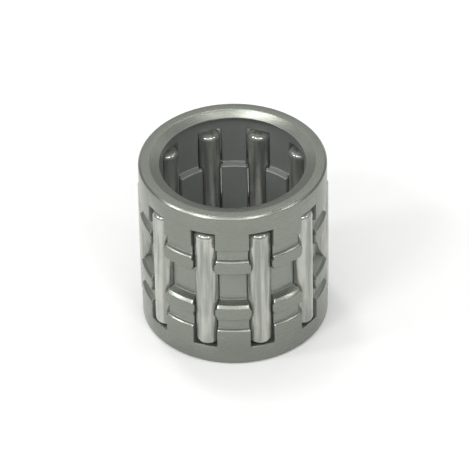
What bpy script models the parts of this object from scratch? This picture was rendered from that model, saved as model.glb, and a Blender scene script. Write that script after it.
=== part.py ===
"""Needle roller and cage assembly for a 12 mm pin in a 16 mm bore.

A one-piece steel cage with a W-shaped section holds ten loose needle rollers.
The rollers run straight on the pin and in the housing, so there are no rings.
The bearing's axis is Z, and the middle of its width is at z = 0.
"""

import math

import bmesh
import bpy
from mathutils import Matrix, Vector

MM = 0.001

# Needles, and the pin that they run on
PIN_DIAMETER = 12.0 * MM
NEEDLE_DIAMETER = 2.0 * MM
NEEDLE_LENGTH = 11.8 * MM
NEEDLE_COUNT = 10
NEEDLE_CORNER = 0.42 * MM
NEEDLE_DOME = 0.08 * MM

# Running clearances
CAGE_INSET = 0.10 * MM
BORE_CLEARANCE = 0.12 * MM
POCKET_SIDE_GAP = 0.06 * MM
POCKET_FLOOR_GAP = 0.05 * MM
POCKET_ROOF_GAP = 0.30 * MM
LIP_GAP = 0.05 * MM

# Rims at the two ends of the cage
RIM_WIDTH = 1.775 * MM
END_CHAMFER = 0.18 * MM
RIM_FACE_WIDTH = 0.90 * MM
RIM_CONE_HEIGHT = 0.28 * MM
RIM_LIP_THICKNESS = 0.10 * MM
RIM_LIP_ROOT = 0.35 * MM

# Outer and inner recesses that give the section its shape
OUTER_WALL = 1.25 * MM
MIDDLE_WALL = 0.93 * MM
MIDDLE_LAND_WIDTH = 4.7 * MM
MIDDLE_RECESS_WIDTH = 3.30 * MM
SHOULDER_WIDTH = 1.52 * MM
GROOVE_WIDTH = 1.08 * MM
GROOVE_DEPTH = 0.33 * MM
WALL_SLOPE = 0.20 * MM
RECESS_CHAMFER = 0.25 * MM
GROOVE_CHAMFER = 0.12 * MM
RIM_CHAMFER = 0.12 * MM

# Lips that keep each needle in its pocket: inside, along the middle land, and outside, on the shoulders
INNER_LIP_BELOW_PITCH = 0.58 * MM
OUTER_LIP_ABOVE_PITCH = 0.45 * MM
OUTER_LIP_WIDTH = 0.70 * MM

# Facets
CAGE_STEPS = 80
NEEDLE_STEPS = 20
ARC_STEPS = 3

# Sizes that follow from those above
NEEDLE_RADIUS = NEEDLE_DIAMETER / 2
PITCH_RADIUS = PIN_DIAMETER / 2 + NEEDLE_RADIUS
CAGE_RADIUS = PITCH_RADIUS + NEEDLE_RADIUS - CAGE_INSET
BORE_RADIUS = PIN_DIAMETER / 2 + BORE_CLEARANCE
MIDDLE_RECESS_RADIUS = BORE_RADIUS + MIDDLE_WALL
UNDERCUT_RADIUS = CAGE_RADIUS - OUTER_WALL
POCKET_LENGTH = NEEDLE_LENGTH + POCKET_FLOOR_GAP + POCKET_ROOF_GAP
POCKET_WIDTH = NEEDLE_DIAMETER + 2 * POCKET_SIDE_GAP
CAGE_HALF_WIDTH = POCKET_LENGTH / 2 + RIM_WIDTH
INNER_LIP_RADIUS = PITCH_RADIUS - INNER_LIP_BELOW_PITCH
OUTER_LIP_RADIUS = PITCH_RADIUS + OUTER_LIP_ABOVE_PITCH
CUT_MARGIN = 0.3 * MM
THROUGH_RADIUS = BORE_RADIUS - CUT_MARGIN
INNER_LIP_REACH = MIDDLE_LAND_WIDTH / 2 + CUT_MARGIN
NEEDLE_PITCH_ANGLE = 2 * math.pi / NEEDLE_COUNT


def clear_scene():
    for obj in list(bpy.data.objects):
        bpy.data.objects.remove(obj)


def make_collection(name, is_helper=False):
    collection = bpy.data.collections.new(name)
    collection.hide_render = is_helper
    bpy.context.scene.collection.children.link(collection)
    return collection


def make_material(name, colour, roughness):
    material = bpy.data.materials.new(name)
    material.use_nodes = True
    shader = material.node_tree.nodes["Principled BSDF"]
    shader.inputs["Base Color"].default_value = (*colour, 1.0)
    shader.inputs["Roughness"].default_value = roughness
    shader.inputs["Metallic"].default_value = 1.0
    material.diffuse_color = (*colour, 1.0)
    return material


def make_object(name, bm, collection, material=None):
    mesh = bpy.data.meshes.new(name)
    bm.to_mesh(mesh)
    bm.free()
    obj = bpy.data.objects.new(name, mesh)
    collection.objects.link(obj)
    if material:
        mesh.materials.append(material)
    return obj


def turn(name, profile, steps, closed, collection, material):
    """A body of revolution about Z from an (r, z) profile that runs down its outer side."""
    bm = bmesh.new()
    verts = [bm.verts.new((r, 0.0, z)) for r, z in profile]
    ends = verts[1:] + verts[:1] if closed else verts[1:]
    for start, end in zip(verts, ends):
        bm.edges.new((start, end))
    obj = make_object(name, bm, collection, material)
    screw = obj.modifiers.new("Turn", "SCREW")
    screw.axis = "Z"
    screw.angle = 2 * math.pi
    screw.steps = steps
    screw.render_steps = steps
    screw.use_merge_vertices = True
    screw.merge_threshold = 0.001 * MM
    screw.use_smooth_shade = True
    return obj


def arc(centre_r, centre_z, radius, start, end):
    """(r, z) points of an arc, with its angles in degrees measured from the +r direction."""
    points = []
    for step in range(ARC_STEPS + 1):
        angle = math.radians(start + (end - start) * step / ARC_STEPS)
        points.append((centre_r + radius * math.cos(angle), centre_z + radius * math.sin(angle)))
    return points


def mirrored(points):
    """The same points below the middle plane, in the opposite order."""
    return [(r, -z) for r, z in reversed(points)]


def outer_side():
    """The upper half of the cage's outside, from its end face down to the middle recess."""
    groove_radius = CAGE_RADIUS - GROOVE_DEPTH
    recess_top = MIDDLE_RECESS_WIDTH / 2
    shoulder_top = recess_top + SHOULDER_WIDTH
    groove_top = shoulder_top + GROOVE_WIDTH
    return [
        (CAGE_RADIUS - END_CHAMFER, CAGE_HALF_WIDTH),
        (CAGE_RADIUS, CAGE_HALF_WIDTH - END_CHAMFER),
        (CAGE_RADIUS, groove_top + RIM_CHAMFER),
        (CAGE_RADIUS - RIM_CHAMFER, groove_top),
        (groove_radius, groove_top - WALL_SLOPE / 2),
        (groove_radius, shoulder_top + WALL_SLOPE / 2),
        (CAGE_RADIUS - GROOVE_CHAMFER, shoulder_top),
        (CAGE_RADIUS, shoulder_top - GROOVE_CHAMFER),
        (CAGE_RADIUS, recess_top + RECESS_CHAMFER),
        (CAGE_RADIUS - RECESS_CHAMFER, recess_top),
        (MIDDLE_RECESS_RADIUS, recess_top - WALL_SLOPE),
    ]


def inner_side():
    """The upper half of the cage's inside, from its end face down to the middle land."""
    lip_top = CAGE_HALF_WIDTH - RIM_CONE_HEIGHT
    lip_bottom = lip_top - RIM_LIP_THICKNESS
    land_top = MIDDLE_LAND_WIDTH / 2
    return [
        (CAGE_RADIUS - RIM_FACE_WIDTH, CAGE_HALF_WIDTH),
        (BORE_RADIUS, lip_top),
        (BORE_RADIUS, lip_bottom),
        (UNDERCUT_RADIUS, lip_bottom - RIM_LIP_ROOT),
        (UNDERCUT_RADIUS, land_top + WALL_SLOPE),
        (BORE_RADIUS, land_top),
    ]


def add_blocks(bm, radius_range, z_range, width):
    """One block across a radius and height range at every pocket."""
    for index in range(NEEDLE_COUNT):
        centre = Vector((sum(radius_range) / 2, 0.0, sum(z_range) / 2))
        size = (radius_range[1] - radius_range[0], width, z_range[1] - z_range[0])
        matrix = Matrix.Rotation(needle_angle(index), 4, "Z") @ Matrix.LocRotScale(centre, None, size)
        bmesh.ops.create_cube(bm, size=1.0, matrix=matrix)


def needle_angle(index):
    """The first two needles are half a pitch either side of the front, -Y."""
    return -math.pi / 2 + (index + 0.5) * NEEDLE_PITCH_ANGLE


def lip_opening(radius):
    """The width that a needle needs at this radius of the cage, with its gap."""
    reach = radius - PITCH_RADIUS
    return 2 * (math.sqrt(NEEDLE_RADIUS**2 - reach**2) + LIP_GAP)


def make_pocket_cutter(collection):
    """Full-width pockets, open to the bore beyond the inner lips, that step round the outer lips."""
    outside = CAGE_RADIUS + CUT_MARGIN
    lip_centre = MIDDLE_RECESS_WIDTH / 2 + SHOULDER_WIDTH / 2
    lip_near = lip_centre - OUTER_LIP_WIDTH / 2
    lip_far = lip_centre + OUTER_LIP_WIDTH / 2
    upper = [
        (INNER_LIP_RADIUS, INNER_LIP_REACH),
        (THROUGH_RADIUS, INNER_LIP_REACH),
        (THROUGH_RADIUS, POCKET_LENGTH / 2),
        (outside, POCKET_LENGTH / 2),
        (outside, lip_far),
        (OUTER_LIP_RADIUS, lip_far),
        (OUTER_LIP_RADIUS, lip_near),
        (outside, lip_near),
    ]
    outline = upper + mirrored(upper)
    bm = bmesh.new()
    for index in range(NEEDLE_COUNT):
        turned = Matrix.Rotation(needle_angle(index), 4, "Z")
        verts = [bm.verts.new(turned @ Vector((r, -POCKET_WIDTH / 2, z))) for r, z in outline]
        face = bm.faces.new(verts)
        grown = bmesh.ops.extrude_face_region(bm, geom=[face])["geom"]
        moved = [item for item in grown if isinstance(item, bmesh.types.BMVert)]
        bmesh.ops.translate(bm, verts=moved, vec=turned @ Vector((0.0, POCKET_WIDTH, 0.0)))
    bmesh.ops.recalc_face_normals(bm, faces=bm.faces)
    return make_helper("pocket_cutter", bm, collection)


def make_lip_cutter(collection):
    """The narrower openings between the lips, inside and outside."""
    shoulder_reach = MIDDLE_RECESS_WIDTH / 2 + SHOULDER_WIDTH + CUT_MARGIN
    inner = (THROUGH_RADIUS, INNER_LIP_RADIUS + CUT_MARGIN)
    outer = (OUTER_LIP_RADIUS - CUT_MARGIN, CAGE_RADIUS + CUT_MARGIN)
    bm = bmesh.new()
    add_blocks(bm, inner, (-INNER_LIP_REACH, INNER_LIP_REACH), lip_opening(INNER_LIP_RADIUS))
    add_blocks(bm, outer, (-shoulder_reach, shoulder_reach), lip_opening(OUTER_LIP_RADIUS))
    return make_helper("lip_cutter", bm, collection)


def make_helper(name, bm, collection):
    cutter = make_object(name, bm, collection)
    cutter.hide_render = True
    cutter.display_type = "WIRE"
    return cutter


def cut(obj, cutter):
    boolean = obj.modifiers.new("Cut " + cutter.name, "BOOLEAN")
    boolean.operation = "DIFFERENCE"
    boolean.solver = "EXACT"
    boolean.object = cutter


def smooth(obj, angle):
    """Smooth shading that keeps the edges sharper than this angle."""
    obj.data.shade_smooth()
    obj.data.set_sharp_from_angle(angle=math.radians(angle))


def make_cage(collection, cutters, material):
    outer = outer_side()
    inner = inner_side()
    profile = outer + mirrored(outer) + list(reversed(mirrored(inner))) + list(reversed(inner))
    cage = turn("cage", profile, CAGE_STEPS, True, collection, material)
    cut(cage, make_pocket_cutter(cutters))
    cut(cage, make_lip_cutter(cutters))
    return cage


def make_needle(index, cage, collection, material):
    """A needle on its own axis, low in its pocket, with round corners and slightly domed ends."""
    corner_z = NEEDLE_LENGTH / 2 - NEEDLE_DOME - NEEDLE_CORNER
    corner = arc(NEEDLE_RADIUS - NEEDLE_CORNER, corner_z, NEEDLE_CORNER, 90, 0)
    half = [(0.0, NEEDLE_LENGTH / 2)] + corner
    name = f"needle_roller_{index + 1:02d}"
    needle = turn(name, half + mirrored(half), NEEDLE_STEPS, False, collection, material)
    angle = needle_angle(index)
    rest_z = -POCKET_LENGTH / 2 + POCKET_FLOOR_GAP + NEEDLE_LENGTH / 2
    needle.location = (PITCH_RADIUS * math.cos(angle), PITCH_RADIUS * math.sin(angle), rest_z)
    needle.parent = cage
    return needle


def main():
    clear_scene()
    parts = make_collection("needle_roller_bearing")
    cutters = make_collection("cutters", is_helper=True)
    cage_steel = make_material("cage_steel", (0.30, 0.31, 0.28), 0.42)
    needle_steel = make_material("needle_steel", (0.55, 0.55, 0.53), 0.22)
    cage = make_cage(parts, cutters, cage_steel)
    smooth(cage, 30)
    for index in range(NEEDLE_COUNT):
        needle = make_needle(index, cage, parts, needle_steel)
        smooth(needle, 30)


main()
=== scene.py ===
"""Needle roller and cage bearing: the turned cage, its ten ground needles and the studio.

Sizes are in metres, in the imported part's own frame. The bearing's axis is Z, and its front faces -Y.
"""

import math

import bmesh
import bpy
from mathutils import Matrix, Vector


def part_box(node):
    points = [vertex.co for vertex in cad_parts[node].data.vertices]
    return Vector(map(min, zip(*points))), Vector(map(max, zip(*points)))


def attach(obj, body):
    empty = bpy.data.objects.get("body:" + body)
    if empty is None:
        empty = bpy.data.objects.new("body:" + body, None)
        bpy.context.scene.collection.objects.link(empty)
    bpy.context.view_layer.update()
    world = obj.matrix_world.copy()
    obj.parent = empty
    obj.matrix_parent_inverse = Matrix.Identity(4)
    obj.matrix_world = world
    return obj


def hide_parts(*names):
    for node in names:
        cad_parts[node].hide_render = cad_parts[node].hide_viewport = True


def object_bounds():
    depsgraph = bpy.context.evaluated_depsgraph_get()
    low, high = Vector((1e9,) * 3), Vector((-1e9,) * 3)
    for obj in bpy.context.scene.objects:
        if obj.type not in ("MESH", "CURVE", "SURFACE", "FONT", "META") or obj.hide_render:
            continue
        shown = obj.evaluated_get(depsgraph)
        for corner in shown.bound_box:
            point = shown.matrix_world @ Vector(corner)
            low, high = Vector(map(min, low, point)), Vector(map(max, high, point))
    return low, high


bl_info = {
    "name": "Needle Roller Bearing",
    "version": (1, 0, 0),
    "blender": (4, 5, 0),
    "location": "View3D > Sidebar > Bearing",
    "description": "Builds a needle roller and cage bearing around its packed frame",
    "category": "Object",
}

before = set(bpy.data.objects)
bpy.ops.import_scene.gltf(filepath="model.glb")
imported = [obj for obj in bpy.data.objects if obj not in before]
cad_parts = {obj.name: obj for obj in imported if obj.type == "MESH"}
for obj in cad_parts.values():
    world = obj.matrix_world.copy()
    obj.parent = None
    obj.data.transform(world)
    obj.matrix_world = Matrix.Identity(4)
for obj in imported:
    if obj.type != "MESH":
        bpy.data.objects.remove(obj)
CAD_BOX = [list(corner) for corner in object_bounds()]

MM = 0.001
CAGE_NODE = "cage"
NEEDLE_NODES = sorted(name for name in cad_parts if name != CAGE_NODE)
NEEDLE_COUNT = len(NEEDLE_NODES)
HALF_PITCH = math.pi / NEEDLE_COUNT
MERGE = 0.0005 * MM

# How finely the cage and needles are made
CORNER_SEGMENTS = 5
POCKET_SHARE = 0.45
BAR_STEPS = 7
POCKET_STEPS = 5
NEEDLE_STEPS = 56
SHARP_ANGLE = math.radians(38)
DEBURR_SEGMENTS = 2
# How much the pocket edges are painted brighter: worn steel, partly a painted highlight
DEBURRED_WEAR_AND_SHEEN = 0.3
WALL_LEAN = 0.5
LIP_EDGE_RATIO = 2.5
NORMAL_WEIGHT = 50

# Turning and grinding marks: rings per metre, and how far they wander off true
CAGE_RINGS = {"Pitch": 16000.0, "Wander": 0.03}
NEEDLE_RINGS = {"Pitch": 24000.0, "Wander": 0.02}
RING_RANGE = (0.3, 0.7)

# Cloudy film, specks and lengthwise streaks: how fine they are, and where each begins and is full. The
# lengthwise streaks on the needles are painted reflections.
CAGE_CLOUDS = {"Scale": 260.0, "Low": 0.3, "High": 0.75}
CAGE_SPECKS = {"Scale": 2600.0, "Low": 0.4, "High": 0.8}
NEEDLE_CLOUDS = {"Scale": 520.0, "Low": 0.35, "High": 0.75}
NEEDLE_STREAKS = {"Scale": 2400.0, "Low": 0.40, "High": 0.62}
STREAK_STRETCH = (1.0, 1.0, 0.06)
WEAR_SHEEN_SHADE_GRAIN = 1500.0

# How strongly each one shows in the colour
CAGE_CLOUD_TINT = 0.28
CAGE_SPECK_TINT = 0.18
# The needles' lengthwise streaks are painted reflections
NEEDLE_STREAK_TINT = 0.75
NEEDLE_CLOUD_TINT = 0.3
# The two below scale the edge marks: worn edges painted brighter, partly a painted highlight, and on the
# cage painted shade in the hollows
CAGE_WEAR_SHEEN_SHADE = 1.0
NEEDLE_WEAR_AND_SHEEN = 0.5

# Roughness of the steel, and what each mark adds to it or takes off
CAGE_ROUGHNESS = (0.21, 0.29)
CAGE_CLOUD_ROUGHNESS = 0.06
CAGE_FILM_ROUGHNESS = 0.12
CAGE_RUBBED_POLISH = 0.15
NEEDLE_ROUGHNESS = (0.06, 0.10)
NEEDLE_STREAK_ROUGHNESS = 0.05

# How metallic the cage is where it is clean and under a full film of oil, and the needles all over
CAGE_METALLIC = (0.88, 0.35)
NEEDLE_METALLIC = 0.60

# Relief of the marks
CAGE_SPECK_RELIEF = 0.5
CAGE_BUMP = {"Strength": 0.35, "Distance": 0.004 * MM}
NEEDLE_BUMP = {"Strength": 0.25, "Distance": 0.002 * MM}

# Floor
FLOOR_SIZE = 1.6
FLOOR_GRAIN = 900.0
FLOOR_SHADE = 0.985
FLOOR_ROUGHNESS = 0.9
FLOOR_SPECULAR = 0.1

# Studio light: its strength, and how it rises over the horizon and falls off towards overhead
WORLD_STRENGTH = 1.20
WORLD_COLOUR = (1.0, 1.0, 0.995, 1.0)
HORIZON_HEIGHTS = (0.52, 0.62)
HORIZON_SHARE = 0.38
OVERHEAD_HEIGHTS = (0.65, 0.75)
OVERHEAD_LOSS = 0.52

# Name, place, width, length and power of each light
LIGHTS = (
    ("front_softbox", (-0.02, -0.27, 0.33), 0.34, 0.12, 0.24),
    ("front_left_lamp", (-0.200, -0.218, 0.308), 0.10, 0.05, 0.31),
    ("front_right_lamp", (0.140, -0.243, 0.325), 0.08, 0.05, 0.19),
    ("left_lamp", (-0.330, -0.095, 0.262), 0.06, 0.06, 0.27),
    ("right_lamp", (0.325, -0.100, 0.270), 0.05, 0.05, 0.09),
    ("left_ceiling_strip", (-0.070, 0.124, 0.40), 0.045, 0.11, 0.24),
    ("right_ceiling_strip", (0.047, 0.110, 0.40), 0.02, 0.08, 0.04),
    ("back_lamp", (0.022, 0.232, 0.348), 0.07, 0.03, 0.05),
    ("overhead_card", (0.0, 0.085, 0.41), 0.16, 0.06, 0.028),
)

CAMERA_DISTANCE = 0.395
CAMERA_ELEVATION = math.radians(38.95)
CAMERA_AZIMUTH = math.radians(1.28)
CAMERA_ROLL = math.radians(-1.16)
CAMERA_LENS = 357.9
CAMERA_SENSOR = 36.0
CAMERA_CLIP = (0.01, 10.0)
CAMERA_AIM = Vector((0.086 * MM, -0.114 * MM, -0.142 * MM))


def width_of(node, axis):
    """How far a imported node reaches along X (0), Y (1) or Z (2)."""
    low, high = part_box(node)
    return high[axis] - low[axis]


def centre_of(node):
    low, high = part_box(node)
    return (low + high) / 2


def length(name, default, description):
    return bpy.props.FloatProperty(
        name=name, description=description, default=default, min=0.0, subtype="DISTANCE", unit="LENGTH"
    )


def colour(name, default, description):
    return bpy.props.FloatVectorProperty(
        name=name, description=description, default=default, size=3, min=0.0, max=1.0, subtype="COLOR"
    )


class CageSizes(bpy.types.PropertyGroup):
    """Sizes of the turned cage's section and pockets."""

    width: length("Width", width_of(CAGE_NODE, 2), "Overall width along the axis")
    outside: length("Outside", width_of(CAGE_NODE, 0), "Outside diameter")
    bore: length("Bore", 12.24 * MM, "Diameter inside the lips and the middle land")
    recess_wall: length("Middle wall", 0.93 * MM, "Wall between the middle land and the middle recess")
    outer_wall: length("Outer wall", 1.25 * MM, "Wall between the inner undercut and the outside")
    recess_width: length("Middle recess", 3.3 * MM, "Width of the recess round the middle")
    shoulder_width: length("Shoulder", 1.52 * MM, "Width of each shoulder beside the recess")
    groove_width: length("Groove", 1.08 * MM, "Width of the shallow groove beyond each shoulder")
    groove_depth: length("Groove depth", 0.33 * MM, "Depth of the shallow grooves")
    land_width: length("Inner land", 4.7 * MM, "Width of the land inside the middle")
    wall_slope: length("Wall slope", 0.20 * MM, "How far a recess wall leans along the axis")
    face_width: length("End face", 0.90 * MM, "Width of the flat end face")
    cone_height: length("Cone", 0.28 * MM, "Height of the shallow cone inside the end face")
    lip_thickness: length("Lip", 0.10 * MM, "Thickness of the lip's edge")
    lip_root: length("Lip root", 0.35 * MM, "How far the lip thickens into the rim")
    pocket_length: length("Pocket length", 12.15 * MM, "Length of a pocket along the axis")
    pocket_gap: length("Pocket side gap", 0.06 * MM, "Gap beside a needle in its pocket")
    lip_gap: length("Lip gap", 0.05 * MM, "Gap between a needle and the lips that keep it in")
    inner_lip: length("Inner lip", 0.58 * MM, "How far below the needle's axis the inner lips begin")
    outer_lip: length("Outer lip", 0.45 * MM, "How far above the needle's axis the outer lips begin")
    outer_lip_width: length("Outer lip width", 0.70 * MM, "Width of an outer lip along the axis")
    end_chamfer: length("End chamfer", 0.18 * MM, "Chamfer between the outside and the end face")
    recess_chamfer: length("Recess chamfer", 0.25 * MM, "Chamfer of the shoulders towards the middle recess")
    groove_chamfer: length("Groove chamfer", 0.12 * MM, "Chamfer of the shoulders towards the grooves")
    rim_chamfer: length("Rim chamfer", 0.12 * MM, "Chamfer of the rims towards the grooves")
    face_rounding: length("Face rounding", 0.06 * MM, "Rounding where the end face meets the cone")
    corner_rounding: length("Corner rounding", 0.07 * MM, "Rounding left by the turning tool")
    edge_rounding: length("Edge rounding", 0.04 * MM, "Rounding along the chamfers")
    deburring: length("Deburring", 0.03 * MM, "Rounding of the pocket edges")


class NeedleSizes(bpy.types.PropertyGroup):
    """Sizes of the needle rollers."""

    diameter: length("Diameter", 2.0 * MM, "Diameter of a needle")
    length: length("Length", width_of(NEEDLE_NODES[0], 2), "Length of a needle")
    corner: length("Corner", 0.42 * MM, "Rounding at the ends")
    dome: length("Dome", 0.08 * MM, "How far the end stands out in the middle")


class Finishes(bpy.types.PropertyGroup):
    """Colours of the steel and the stage."""

    cage: colour("Cage steel", (0.243, 0.258, 0.226), "Heat-treated and oiled cage steel")
    # The next colour is the oil film in the bore, on the pocket walls and in the recesses; lighter and less
    # metallic than the clean steel, it is partly a painted fill that lifts their shade
    cage_bore_film_and_fill: colour("Cage bore", (0.295, 0.318, 0.303), "Darker film inside the cage's bore")
    # The next colour is worn steel on the edges, partly a painted highlight
    cage_rubbed_and_sheen: colour("Rubbed edges", (0.56, 0.56, 0.52), "Brighter steel on the cage's rubbed edges")
    # The next colour darkens the cloudy patches and specks, and is painted shade in the cage's hollows
    cage_stain_and_shade: colour("Cage stain", (0.17, 0.175, 0.155), "Darker film left in the cage's corners")
    needle: colour("Needle steel", (0.505, 0.51, 0.462), "Ground bearing steel")
    # The next colour darkens the needles' cloudy patches and paints their lengthwise streaks, which are
    # painted reflections
    needle_haze_and_reflection: colour("Needle haze", (0.21, 0.225, 0.205), "Dull patches along the needles")
    floor: colour("Floor", (0.93, 0.93, 0.925), "Plain pale floor")


# Meshes


def section_face(corners):
    """One face in the XZ plane from its corners, each (radius, height, rounding, rub and sheen, film and
    fill).

    The rub and sheen value runs from 0, as turned, to 1, worn bright, which is partly a painted highlight;
    in hollows it later becomes painted shade. The film and fill value runs from 0, clean, to 1, a full film
    of oil, whose lighter, less metallic colour is partly a painted fill.
    """
    bm = bmesh.new()
    wear_sheen_shade = bm.verts.layers.float.new("edge_wear_sheen_shade")
    film = bm.verts.layers.float.new("oil_film_and_fill")
    verts = [bm.verts.new((corner[0], 0.0, corner[1])) for corner in corners]
    bm.faces.new(verts)
    by_finish = {}
    for vert, corner in zip(verts, corners):
        vert[film] = corner[4]
        if corner[2]:
            by_finish.setdefault(corner[2:], []).append(vert)
    for (rounding, rub_sheen_shade, film_and_fill), group in by_finish.items():
        rounded = bmesh.ops.bevel(
            bm, geom=group, offset=rounding, offset_type="OFFSET", segments=CORNER_SEGMENTS,
            profile=0.5, affect="VERTICES", clamp_overlap=False, material=-1,
        )
        for vert in rounded["verts"]:
            longest = max(edge.calc_length() for edge in vert.link_edges)
            vert[wear_sheen_shade] = rub_sheen_shade if longest < rounding else 0.0
            vert[film] = film_and_fill
    return bm


def faces_geometry(faces):
    verts = {vert for face in faces for vert in face.verts}
    edges = {edge for face in faces for edge in face.edges}
    return list(verts) + list(edges) + list(faces)


def bisect(bm, faces, point, normal):
    """Cuts these faces along a plane and keeps both sides."""
    geometry = faces_geometry(faces)
    bmesh.ops.bisect_plane(bm, geom=geometry, dist=MERGE / 10, plane_co=point, plane_no=normal)


def spin_edges(bm, edges, angle, steps):
    """Sweeps edges round the bearing's axis."""
    verts = {vert for edge in edges for vert in edge.verts}
    bmesh.ops.spin(
        bm, geom=list(verts) + list(edges), axis=(0, 0, 1), cent=(0, 0, 0), angle=angle, steps=steps,
    )


def add_piece(name, bm, material):
    """A smooth mesh object at the origin, with its faces turned outwards."""
    bmesh.ops.recalc_face_normals(bm, faces=bm.faces)
    mesh = bpy.data.meshes.new(name)
    bm.to_mesh(mesh)
    bm.free()
    piece = bpy.data.objects.new(name, mesh)
    bpy.context.scene.collection.objects.link(piece)
    mesh.materials.append(material)
    mesh.shade_smooth()
    weighted = piece.modifiers.new("Even normals", "WEIGHTED_NORMAL")
    weighted.mode = "FACE_AREA"
    weighted.weight = NORMAL_WEIGHT
    return piece


def cage_corners(sizes):
    """The upper half of the cage's section, from the middle recess over the rim to the middle land."""
    outside = sizes.outside / 2
    half = sizes.width / 2
    bore = sizes.bore / 2
    recess = bore + sizes.recess_wall
    undercut = outside - sizes.outer_wall
    groove = outside - sizes.groove_depth
    recess_top = sizes.recess_width / 2
    shoulder_top = recess_top + sizes.shoulder_width
    groove_top = shoulder_top + sizes.groove_width
    lip_top = half - sizes.cone_height
    lip_bottom = lip_top - sizes.lip_thickness
    land_top = sizes.land_width / 2
    slope = sizes.wall_slope
    corner = sizes.corner_rounding
    edge = sizes.edge_rounding
    lip_edge = sizes.lip_thickness / LIP_EDGE_RATIO
    return [
        (recess, 0.0, 0.0, 0.0, 0.25),
        (recess, recess_top - slope, corner, 0.4, 0.3),
        (outside - sizes.recess_chamfer, recess_top, edge, 0.1, 0.1),
        (outside, recess_top + sizes.recess_chamfer, edge, 0.1, 0.0),
        (outside, shoulder_top - sizes.groove_chamfer, edge, 0.1, 0.0),
        (outside - sizes.groove_chamfer, shoulder_top, edge, 0.1, 0.1),
        (groove, shoulder_top + slope / 2, edge, 0.4, 0.25),
        (groove, groove_top - slope / 2, corner, 0.4, 0.25),
        (outside - sizes.rim_chamfer, groove_top, edge, 0.05, 0.1),
        (outside, groove_top + sizes.rim_chamfer, edge, 0.05, 0.0),
        (outside, half - sizes.end_chamfer, edge, 0.1, 0.0),
        (outside - sizes.end_chamfer, half, edge, 0.1, 0.0),
        (outside - sizes.face_width, half, sizes.face_rounding, 0.05, 0.0),
        (bore, lip_top, lip_edge, 0.2, 0.1),
        (bore, lip_bottom, lip_edge, 0.1, 1.0),
        (undercut, lip_bottom - sizes.lip_root, corner, 0.2, 1.0),
        (undercut, land_top + slope, corner, 0.2, 1.0),
        (bore, land_top, corner, 0.3, 1.0),
        (bore, 0.0, 0.0, 0.0, 1.0),
    ]


def pitch_radius():
    return centre_of(NEEDLE_NODES[0]).to_2d().length


def lip_opening(radius, needle_radius, gap):
    """Half the width that a needle needs at this radius of the cage."""
    reach = radius - pitch_radius()
    return math.sqrt(needle_radius**2 - reach**2) + gap


def cage_unit(sizes, needle_radius):
    """A fortieth of the cage: the upper half of half a bar and of half the rim over a pocket."""
    bm = section_face(cage_corners(sizes))
    pocket_top = sizes.pocket_length / 2
    inner_lip = pitch_radius() - sizes.inner_lip
    outer_lip = pitch_radius() + sizes.outer_lip
    lip_middle = sizes.recess_width / 2 + sizes.shoulder_width / 2
    lip_low = lip_middle - sizes.outer_lip_width / 2
    lip_high = lip_middle + sizes.outer_lip_width / 2

    def below_pocket_top():
        return [face for face in bm.faces if face.calc_center_bounds().z < pocket_top - MERGE]

    def beyond(radius):
        return [face for face in below_pocket_top() if face.calc_center_bounds().x > radius]

    bisect(bm, list(bm.faces), (0, 0, pocket_top), (0, 0, 1))
    bisect(bm, below_pocket_top(), (inner_lip, 0, 0), (1, 0, 0))
    bisect(bm, below_pocket_top(), (outer_lip, 0, 0), (1, 0, 0))
    bisect(bm, beyond(outer_lip), (0, 0, lip_low), (0, 0, 1))
    bisect(bm, beyond(outer_lip), (0, 0, lip_high), (0, 0, 1))
    walls = below_pocket_top()
    rim = [face for face in bm.faces if face not in walls]
    inner = [face for face in walls if face.calc_center_bounds().x < inner_lip]
    outer = [face for face in beyond(outer_lip) if lip_low < face.calc_center_bounds().z < lip_high]

    middle = [edge for edge in bm.edges if all(abs(vert.co.z) < MERGE for vert in edge.verts)]
    skin = [edge for edge in bm.edges if edge.is_boundary and edge not in middle]
    rim_edges = list({edge for face in rim for edge in face.edges})
    start = HALF_PITCH * POCKET_SHARE
    bmesh.ops.rotate(bm, verts=bm.verts, cent=(0, 0, 0), matrix=Matrix.Rotation(start, 3, "Z"))
    spin_edges(bm, skin, HALF_PITCH - start, BAR_STEPS)
    spin_edges(bm, rim_edges, -start, POCKET_STEPS)
    bmesh.ops.delete(bm, geom=rim, context="FACES_ONLY")

    half_pocket = needle_radius + sizes.pocket_gap
    flatten_pocket_wall(bm, start, half_pocket)
    grow_lip(bm, inner, lip_opening(inner_lip, needle_radius, sizes.lip_gap))
    grow_lip(bm, outer, lip_opening(outer_lip, needle_radius, sizes.lip_gap))
    flat = [face for face in bm.faces if all(abs(vert.co.z) < MERGE for vert in face.verts)]
    bmesh.ops.delete(bm, geom=flat, context="FACES")
    return bm


def flatten_pocket_wall(bm, start, half_pocket):
    """Moves points round the axis, so that the wall lies flat, half a pocket from the pocket's middle."""
    for vert in bm.verts:
        radius = vert.co.to_2d().length
        angle = math.atan2(vert.co.y, vert.co.x)
        edge = math.asin(half_pocket / radius)
        if angle < start:
            angle = angle / start * edge
        else:
            angle = edge + (angle - start) / (HALF_PITCH - start) * (HALF_PITCH - edge)
        vert.co.x = radius * math.cos(angle)
        vert.co.y = radius * math.sin(angle)


def grow_lip(bm, faces, half_opening):
    """Pulls part of the wall out to the needle. Each point keeps its distance from the bearing's axis."""
    grown = bmesh.ops.extrude_face_region(bm, geom=faces)["geom"]
    bmesh.ops.delete(bm, geom=faces, context="FACES")
    for vert in (item for item in grown if isinstance(item, bmesh.types.BMVert)):
        radius = vert.co.to_2d().length
        vert.co.y = half_opening
        vert.co.x = math.sqrt(radius**2 - half_opening**2)


def everything_in(bm):
    return list(bm.verts) + list(bm.edges) + list(bm.faces)


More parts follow.
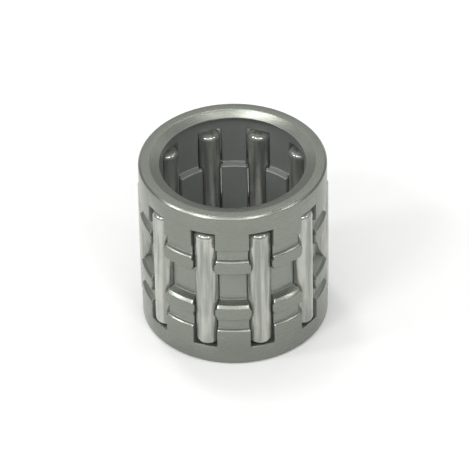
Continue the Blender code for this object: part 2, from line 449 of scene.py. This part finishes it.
def build_cage_mesh(sizes, needle_radius):
    """The whole cage: one unit mirrored to a full bar, then repeated round the axis and deburred."""
    bm = cage_unit(sizes, needle_radius)
    for axis in ("Z", "Y"):
        bmesh.ops.mirror(bm, geom=everything_in(bm), merge_dist=MERGE, axis=axis)
    first = centre_of(NEEDLE_NODES[0])
    turned = Matrix.Rotation(math.atan2(first.y, first.x), 3, "Z")
    bmesh.ops.rotate(bm, verts=bm.verts, cent=(0, 0, 0), matrix=turned)
    bmesh.ops.spin(
        bm, geom=everything_in(bm), axis=(0, 0, 1), cent=(0, 0, 0),
        angle=2 * HALF_PITCH * (NEEDLE_COUNT - 1), steps=NEEDLE_COUNT - 1, use_duplicate=True,
    )
    bmesh.ops.remove_doubles(bm, verts=bm.verts, dist=MERGE)
    bmesh.ops.recalc_face_normals(bm, faces=bm.faces)
    deburr(bm, sizes.deburring)
    mark_finish(bm)
    return bm


def deburr(bm, width):
    """Rounds every edge that the turning left sharp, which are those of the pockets and lips."""
    wear_sheen_shade = bm.verts.layers.float["edge_wear_sheen_shade"]
    sharp = [edge for edge in bm.edges if edge.is_manifold and edge.calc_face_angle() > SHARP_ANGLE]
    rounded = bmesh.ops.bevel(
        bm, geom=sharp, offset=width, offset_type="OFFSET", segments=DEBURR_SEGMENTS, profile=0.5,
        affect="EDGES", clamp_overlap=False, loop_slide=True, material=-1,
    )
    # The rounded strips are painted brighter as worn steel, partly a painted highlight
    strips = set(rounded["faces"])
    for vert in rounded["verts"]:
        if all(face in strips for face in vert.link_faces):
            vert[wear_sheen_shade] = DEBURRED_WEAR_AND_SHEEN


def mark_finish(bm):
    """Turns the edge value round in the hollows, where it becomes painted shade, and puts the oil film,
    partly a painted fill, on the pocket walls.
    """
    wear_sheen_shade = bm.verts.layers.float["edge_wear_sheen_shade"]
    film = bm.verts.layers.float["oil_film_and_fill"]
    bm.normal_update()
    for vert in bm.verts:
        if vert[wear_sheen_shade] and is_hollow(vert):
            vert[wear_sheen_shade] = -vert[wear_sheen_shade]
        outward = vert.co.to_2d().normalized()
        if abs(vert.normal.to_2d().dot(outward)) < WALL_LEAN and abs(vert.normal.z) < WALL_LEAN:
            vert[film] = 1.0


def is_hollow(vert):
    """Whether the surface curves inwards at this point."""
    neighbours = [edge.other_vert(vert).co for edge in vert.link_edges]
    around = sum(neighbours, Vector()) / len(neighbours)
    return (around - vert.co).dot(vert.normal) > 0


def build_needle_mesh(sizes, centre):
    """A needle turned about its own axis, from half of its lengthwise section."""
    radius = sizes.diameter / 2
    half = sizes.length / 2
    shoulder = half - sizes.dome
    corners = [
        (0.0, -half, 0.0, 0.0, 0.0),
        (radius, -shoulder, sizes.corner, 0.5, 0.0),
        (radius, shoulder, sizes.corner, 0.5, 0.0),
        (0.0, half, 0.0, 0.0, 0.0),
    ]
    bm = section_face(corners)
    side = [edge for edge in bm.edges if any(vert.co.x > MERGE for vert in edge.verts)]
    section = list(bm.faces)
    verts = {vert for edge in side for vert in edge.verts}
    bmesh.ops.spin(
        bm, geom=list(verts) + side, axis=(0, 0, 1), cent=(0, 0, 0), angle=2 * math.pi, steps=NEEDLE_STEPS,
        use_merge=True,
    )
    bmesh.ops.delete(bm, geom=section, context="FACES")
    bmesh.ops.remove_doubles(bm, verts=bm.verts, dist=MERGE)
    bmesh.ops.translate(bm, verts=bm.verts, vec=centre)
    return bm


# Materials


def new_group(name, inputs, outputs):
    """A shader node group with the named sockets. Returns it with its input and output nodes."""
    group = bpy.data.node_groups.new(name, "ShaderNodeTree")
    for socket, kind, default in inputs:
        made = group.interface.new_socket(name=socket, in_out="INPUT", socket_type=kind)
        if default is not None:
            made.default_value = default
    for socket, kind in outputs:
        group.interface.new_socket(name=socket, in_out="OUTPUT", socket_type=kind)
    return group, group.nodes.new("NodeGroupInput"), group.nodes.new("NodeGroupOutput")


def add_node(tree, kind, inputs=None, **settings):
    """A node with its settings, and with each input linked to a socket or set to a value."""
    node = tree.nodes.new(kind)
    for name, value in settings.items():
        setattr(node, name, value)
    for socket, value in (inputs or {}).items():
        if isinstance(value, bpy.types.NodeSocket):
            tree.links.new(value, node.inputs[socket])
        else:
            node.inputs[socket].default_value = value
    return node


def maths(tree, operation, first, second=0.0, clamp=False):
    inputs = {0: first, 1: second}
    return add_node(tree, "ShaderNodeMath", inputs, operation=operation, use_clamp=clamp).outputs[0]


def mixed(tree, factor, first, second):
    """A colour between two."""
    mix = add_node(tree, "ShaderNodeMix", data_type="RGBA")
    for socket, value in ((mix.inputs[0], factor), (mix.inputs[6], first), (mix.inputs[7], second)):
        if isinstance(value, bpy.types.NodeSocket):
            tree.links.new(value, socket)
        else:
            socket.default_value = value
    return mix.outputs[2]


def noise(tree, vector, scale, detail=3.0, roughness=0.5):
    inputs = {"Vector": vector, "Scale": scale, "Detail": detail, "Roughness": roughness}
    return add_node(tree, "ShaderNodeTexNoise", inputs).outputs["Fac"]


def stretched(tree, value, low, high, to_low=0.0, to_high=1.0):
    inputs = {"Value": value, "From Min": low, "From Max": high, "To Min": to_low, "To Max": to_high}
    return add_node(tree, "ShaderNodeMapRange", inputs).outputs["Result"]


def lathe_marks_group():
    """Fine rings round the axis, as a turning tool or a grinding wheel leaves them."""
    group, given, result = new_group(
        "Lathe marks",
        [("Vector", "NodeSocketVector", None), ("Pitch", "NodeSocketFloat", 9000.0),
         ("Wander", "NodeSocketFloat", 0.02)],
        [("Height", "NodeSocketFloat")],
    )
    vector = given.outputs["Vector"]
    parts = add_node(group, "ShaderNodeSeparateXYZ", {0: vector})
    flat = add_node(group, "ShaderNodeCombineXYZ", {0: parts.outputs[0], 1: parts.outputs[1]})
    reach = add_node(group, "ShaderNodeVectorMath", {0: flat.outputs[0]}, operation="LENGTH")
    along = maths(group, "MULTIPLY", parts.outputs[2], given.outputs["Pitch"])
    across = maths(group, "MULTIPLY", reach.outputs["Value"], given.outputs["Pitch"])
    sideways = maths(group, "MULTIPLY", parts.outputs[0], given.outputs["Pitch"])
    wander = maths(group, "MULTIPLY", sideways, given.outputs["Wander"])
    rings = add_node(group, "ShaderNodeCombineXYZ", {0: across, 1: along, 2: wander})
    height = noise(group, rings.outputs[0], 1.0, 3.0, 0.6)
    group.links.new(height, result.inputs["Height"])
    return group


def patches_group():
    """Soft cloudy patches, for oil film, heat tint and handling; stretched along the needles, for their
    painted reflection streaks.
    """
    group, given, result = new_group(
        "Patches",
        [("Vector", "NodeSocketVector", None), ("Scale", "NodeSocketFloat", 400.0),
         ("Low", "NodeSocketFloat", 0.35), ("High", "NodeSocketFloat", 0.7)],
        [("Mask", "NodeSocketFloat")],
    )
    cloud = noise(group, given.outputs["Vector"], given.outputs["Scale"], 4.0, 0.55)
    mask = add_node(group, "ShaderNodeMapRange", {
        "Value": cloud, "From Min": given.outputs["Low"], "From Max": given.outputs["High"],
    }).outputs["Result"]
    group.links.new(mask, result.inputs["Mask"])
    return group


def edge_wear_sheen_shade_group():
    """Splits the stored edge value into worn edges painted brighter, partly a painted highlight, and painted
    shade in the hollow corners, broken up a little.
    """
    group, given, result = new_group(
        "Edge wear",
        [("Edge", "NodeSocketFloat", 0.0), ("Vector", "NodeSocketVector", None),
         ("Amount", "NodeSocketFloat", 1.0)],
        [("Rubbed and sheen", "NodeSocketFloat"), ("Corner", "NodeSocketFloat")],
    )
    broken = stretched(group, noise(group, given.outputs["Vector"], WEAR_SHEEN_SHADE_GRAIN, 2.0), 0.3, 0.6, 0.55, 1.0)
    strength = maths(group, "MULTIPLY", broken, given.outputs["Amount"])
    rubbed_and_sheen = maths(group, "MULTIPLY", given.outputs["Edge"], strength, clamp=True)
    # Negative values, in the hollows, become painted shade
    inward = maths(group, "MULTIPLY", given.outputs["Edge"], -1.0, clamp=True)
    corner = maths(group, "MULTIPLY", inward, strength, clamp=True)
    group.links.new(rubbed_and_sheen, result.inputs["Rubbed and sheen"])
    group.links.new(corner, result.inputs["Corner"])
    return group


def new_material(name):
    material = bpy.data.materials.new(name)
    material.use_nodes = True
    shader = material.node_tree.nodes["Principled BSDF"]
    return material, material.node_tree, shader


def use_group(tree, name, makers, **values):
    group = bpy.data.node_groups.get(name) or makers()
    node = add_node(tree, "ShaderNodeGroup")
    node.node_tree = group
    for socket, value in values.items():
        if isinstance(value, bpy.types.NodeSocket):
            tree.links.new(value, node.inputs[socket])
        else:
            node.inputs[socket].default_value = value
    return node


def opaque(rgb):
    return (*rgb, 1.0)


def cage_steel(finishes):
    """Turned and heat-treated steel: satin outside, duller in the bore, worn on its edges. The edges are
    painted brighter, partly a painted highlight, the hollows carry painted shade, and the film in the bore
    is lighter and less metallic, partly a painted fill.
    """
    material, tree, shader = new_material("cage_steel_turned")
    place = add_node(tree, "ShaderNodeTexCoord").outputs["Object"]
    edge = add_node(tree, "ShaderNodeAttribute", attribute_name="edge_wear_sheen_shade").outputs["Fac"]
    rings = use_group(tree, "Lathe marks", lathe_marks_group, Vector=place, **CAGE_RINGS)
    clouds = use_group(tree, "Patches", patches_group, Vector=place, **CAGE_CLOUDS)
    specks = use_group(tree, "Patches", patches_group, Vector=place, **CAGE_SPECKS)
    wear_sheen_shade = use_group(tree, "Edge wear", edge_wear_sheen_shade_group, Edge=edge, Vector=place, Amount=CAGE_WEAR_SHEEN_SHADE)
    film = add_node(tree, "ShaderNodeAttribute", attribute_name="oil_film_and_fill").outputs["Fac"]
    # The film is lighter and less metallic than the clean steel: oil film and partly a painted fill in the
    # shaded bore
    steel = mixed(tree, film, opaque(finishes.cage), opaque(finishes.cage_bore_film_and_fill))
    stain_and_shade = opaque(finishes.cage_stain_and_shade)
    cloud_tint = maths(tree, "MULTIPLY", clouds.outputs["Mask"], CAGE_CLOUD_TINT)
    tinted = mixed(tree, cloud_tint, steel, stain_and_shade)
    speck_tint = maths(tree, "MULTIPLY", specks.outputs["Mask"], CAGE_SPECK_TINT)
    speckled = mixed(tree, speck_tint, tinted, stain_and_shade)
    # Painted shade in the hollow corners
    corner_shaded = mixed(tree, wear_sheen_shade.outputs["Corner"], speckled, stain_and_shade)
    # Worn edges painted brighter, partly a painted highlight
    finished = mixed(tree, wear_sheen_shade.outputs["Rubbed and sheen"], corner_shaded, opaque(finishes.cage_rubbed_and_sheen))
    tree.links.new(finished, shader.inputs["Base Color"])
    ringed = stretched(tree, rings.outputs["Height"], *RING_RANGE, *CAGE_ROUGHNESS)
    dulling = maths(tree, "MULTIPLY", clouds.outputs["Mask"], CAGE_CLOUD_ROUGHNESS)
    dulled = maths(tree, "ADD", ringed, dulling)
    oiled = maths(tree, "ADD", dulled, maths(tree, "MULTIPLY", film, CAGE_FILM_ROUGHNESS))
    rubbed_and_sheen = maths(tree, "MULTIPLY", wear_sheen_shade.outputs["Rubbed and sheen"], CAGE_RUBBED_POLISH)
    tree.links.new(maths(tree, "SUBTRACT", oiled, rubbed_and_sheen), shader.inputs["Roughness"])
    tree.links.new(stretched(tree, film, 0.0, 1.0, *CAGE_METALLIC), shader.inputs["Metallic"])
    raised = maths(tree, "MULTIPLY", specks.outputs["Mask"], CAGE_SPECK_RELIEF)
    relief = maths(tree, "ADD", rings.outputs["Height"], raised)
    bump = add_node(tree, "ShaderNodeBump", {**CAGE_BUMP, "Height": relief})
    tree.links.new(bump.outputs["Normal"], shader.inputs["Normal"])
    return material


def needle_steel(finishes):
    """Ground bearing steel: bright, with faint grinding rings and soft streaks along its length, which are
    painted reflections, and corners painted brighter, partly a painted highlight.
    """
    material, tree, shader = new_material("needle_steel_ground")
    place = add_node(tree, "ShaderNodeTexCoord").outputs["Object"]
    edge = add_node(tree, "ShaderNodeAttribute", attribute_name="edge_wear_sheen_shade").outputs["Fac"]
    rings = use_group(tree, "Lathe marks", lathe_marks_group, Vector=place, **NEEDLE_RINGS)
    drawn_out = add_node(tree, "ShaderNodeMapping", {"Vector": place, "Scale": STREAK_STRETCH}).outputs[0]
    streaks = use_group(tree, "Patches", patches_group, Vector=drawn_out, **NEEDLE_STREAKS)
    clouds = use_group(tree, "Patches", patches_group, Vector=place, **NEEDLE_CLOUDS)
    wear_sheen_shade = use_group(tree, "Edge wear", edge_wear_sheen_shade_group, Edge=edge, Vector=place, Amount=NEEDLE_WEAR_AND_SHEEN)
    steel = opaque(finishes.needle)
    haze_and_reflection = opaque(finishes.needle_haze_and_reflection)
    # The lengthwise streaks are painted reflections
    streak_tint = maths(tree, "MULTIPLY", streaks.outputs["Mask"], NEEDLE_STREAK_TINT)
    streaked = mixed(tree, streak_tint, steel, haze_and_reflection)
    cloud_tint = maths(tree, "MULTIPLY", clouds.outputs["Mask"], NEEDLE_CLOUD_TINT)
    hazed = mixed(tree, cloud_tint, streaked, haze_and_reflection)
    # The needles' worn corners painted brighter, partly a painted highlight
    finished = mixed(tree, wear_sheen_shade.outputs["Rubbed and sheen"], hazed, opaque(finishes.cage_rubbed_and_sheen))
    tree.links.new(finished, shader.inputs["Base Color"])
    ringed = stretched(tree, rings.outputs["Height"], *RING_RANGE, *NEEDLE_ROUGHNESS)
    dulling = maths(tree, "MULTIPLY", streaks.outputs["Mask"], NEEDLE_STREAK_ROUGHNESS)
    tree.links.new(maths(tree, "ADD", ringed, dulling), shader.inputs["Roughness"])
    relief = maths(tree, "ADD", rings.outputs["Height"], streaks.outputs["Mask"])
    bump = add_node(tree, "ShaderNodeBump", {**NEEDLE_BUMP, "Height": relief})
    tree.links.new(bump.outputs["Normal"], shader.inputs["Normal"])
    shader.inputs["Metallic"].default_value = NEEDLE_METALLIC
    return material


def floor_paint(finishes):
    """A plain pale floor with the faintest grain."""
    material, tree, shader = new_material("floor_paper")
    place = add_node(tree, "ShaderNodeTexCoord").outputs["Object"]
    grain = noise(tree, place, FLOOR_GRAIN, 4.0)
    pale = opaque(finishes.floor)
    shade = opaque([FLOOR_SHADE * value for value in finishes.floor])
    tree.links.new(mixed(tree, grain, shade, pale), shader.inputs["Base Color"])
    shader.inputs["Roughness"].default_value = FLOOR_ROUGHNESS
    shader.inputs["Specular IOR Level"].default_value = FLOOR_SPECULAR
    return material


# Operators


def settings(context):
    scene = context.scene
    return scene.bearing_cage, scene.bearing_needle, scene.bearing_finish


class BEARING_OT_cage(bpy.types.Operator):
    """Builds the turned cage with its pockets and lips"""

    bl_idname = "bearing.cage"
    bl_label = "Build Cage"

    def execute(self, context):
        cage_sizes, needle_sizes, finishes = settings(context)
        bm = build_cage_mesh(cage_sizes, needle_sizes.diameter / 2)
        cage = add_piece("cage_turned", bm, cage_steel(finishes))
        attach(cage, CAGE_NODE)
        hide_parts(CAGE_NODE)
        return {"FINISHED"}


class BEARING_OT_needles(bpy.types.Operator):
    """Builds the needle rollers, each on its own axis"""

    bl_idname = "bearing.needles"
    bl_label = "Build Needles"

    def execute(self, context):
        _, needle_sizes, finishes = settings(context)
        steel = needle_steel(finishes)
        for index, node in enumerate(NEEDLE_NODES):
            bm = build_needle_mesh(needle_sizes, centre_of(node))
            needle = add_piece(f"needle_{index + 1:02d}", bm, steel)
            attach(needle, node)
            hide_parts(node)
        return {"FINISHED"}


class BEARING_OT_stage(bpy.types.Operator):
    """Sets out the pale floor, the soft lights and the camera"""

    bl_idname = "bearing.stage"
    bl_label = "Build Stage"

    def execute(self, context):
        _, _, finishes = settings(context)
        add_floor(finishes)
        add_world(context.scene)
        for light in LIGHTS:
            add_light(*light)
        add_camera(context.scene)
        context.scene.view_settings.view_transform = "Standard"
        return {"FINISHED"}


# Stage


def add_floor(finishes):
    bm = bmesh.new()
    bmesh.ops.create_grid(bm, x_segments=1, y_segments=1, size=FLOOR_SIZE / 2)
    bmesh.ops.translate(bm, verts=bm.verts, vec=(0, 0, CAD_BOX[0][2]))
    mesh = bpy.data.meshes.new("floor")
    bm.to_mesh(mesh)
    bm.free()
    floor = bpy.data.objects.new("floor", mesh)
    bpy.context.scene.collection.objects.link(floor)
    mesh.materials.append(floor_paint(finishes))


def add_world(scene):
    """Soft studio light, brightest in a band well above the horizon."""
    world = bpy.data.worlds.new("studio")
    world.use_nodes = True
    tree = world.node_tree
    background = tree.nodes["Background"]
    direction = add_node(tree, "ShaderNodeTexCoord").outputs["Generated"]
    height = add_node(tree, "ShaderNodeSeparateXYZ", {0: direction}).outputs["Z"]
    low = stretched(tree, height, *HORIZON_HEIGHTS, HORIZON_SHARE * WORLD_STRENGTH, WORLD_STRENGTH)
    high = stretched(tree, height, *OVERHEAD_HEIGHTS, 0.0, OVERHEAD_LOSS * WORLD_STRENGTH)
    strength = maths(tree, "SUBTRACT", low, high)
    tree.links.new(strength, background.inputs["Strength"])
    background.inputs["Color"].default_value = WORLD_COLOUR
    scene.world = world


def add_light(name, place, width, length, power):
    """A soft light that looks at the bearing, with its width from left to right."""
    data = bpy.data.lights.new(name, "AREA")
    data.shape = "RECTANGLE"
    data.energy = power
    data.size = width
    data.size_y = length
    light = bpy.data.objects.new(name, data)
    light.location = place
    light.rotation_euler = light.location.to_track_quat("Z", "Y").to_euler()
    bpy.context.scene.collection.objects.link(light)


def add_camera(scene):
    data = bpy.data.cameras.new("camera")
    data.lens = CAMERA_LENS
    data.sensor_width = CAMERA_SENSOR
    data.clip_start, data.clip_end = CAMERA_CLIP
    camera = bpy.data.objects.new("camera", data)
    away = Vector((
        math.cos(CAMERA_ELEVATION) * math.sin(CAMERA_AZIMUTH),
        -math.cos(CAMERA_ELEVATION) * math.cos(CAMERA_AZIMUTH),
        math.sin(CAMERA_ELEVATION),
    ))
    turned = away.to_track_quat("Z", "Y").to_matrix().to_4x4() @ Matrix.Rotation(CAMERA_ROLL, 4, "Z")
    camera.matrix_world = Matrix.Translation(away * CAMERA_DISTANCE + CAMERA_AIM) @ turned
    scene.collection.objects.link(camera)
    scene.camera = camera


class BEARING_PT_sidebar(bpy.types.Panel):
    """Lists the bearing's builders and sizes"""

    bl_idname = "BEARING_PT_sidebar"
    bl_label = "Needle Roller Bearing"
    bl_space_type = "VIEW_3D"
    bl_region_type = "UI"
    bl_category = "Bearing"

    def draw(self, context):
        for operator in (BEARING_OT_cage, BEARING_OT_needles, BEARING_OT_stage):
            self.layout.operator(operator.bl_idname)
        for group in settings(context):
            box = self.layout.box()
            for name in type(group).__annotations__:
                box.prop(group, name)


CLASSES = (
    CageSizes, NeedleSizes, Finishes,
    BEARING_OT_cage, BEARING_OT_needles, BEARING_OT_stage,
    BEARING_PT_sidebar,
)


def register():
    for cls in CLASSES:
        bpy.utils.register_class(cls)
    bpy.types.Scene.bearing_cage = bpy.props.PointerProperty(type=CageSizes)
    bpy.types.Scene.bearing_needle = bpy.props.PointerProperty(type=NeedleSizes)
    bpy.types.Scene.bearing_finish = bpy.props.PointerProperty(type=Finishes)


def unregister():
    del bpy.types.Scene.bearing_finish
    del bpy.types.Scene.bearing_needle
    del bpy.types.Scene.bearing_cage
    for cls in reversed(CLASSES):
        bpy.utils.unregister_class(cls)


def main():
    register()
    bpy.ops.bearing.cage()
    bpy.ops.bearing.needles()
    bpy.ops.bearing.stage()


if __name__ == "__main__":
    main()
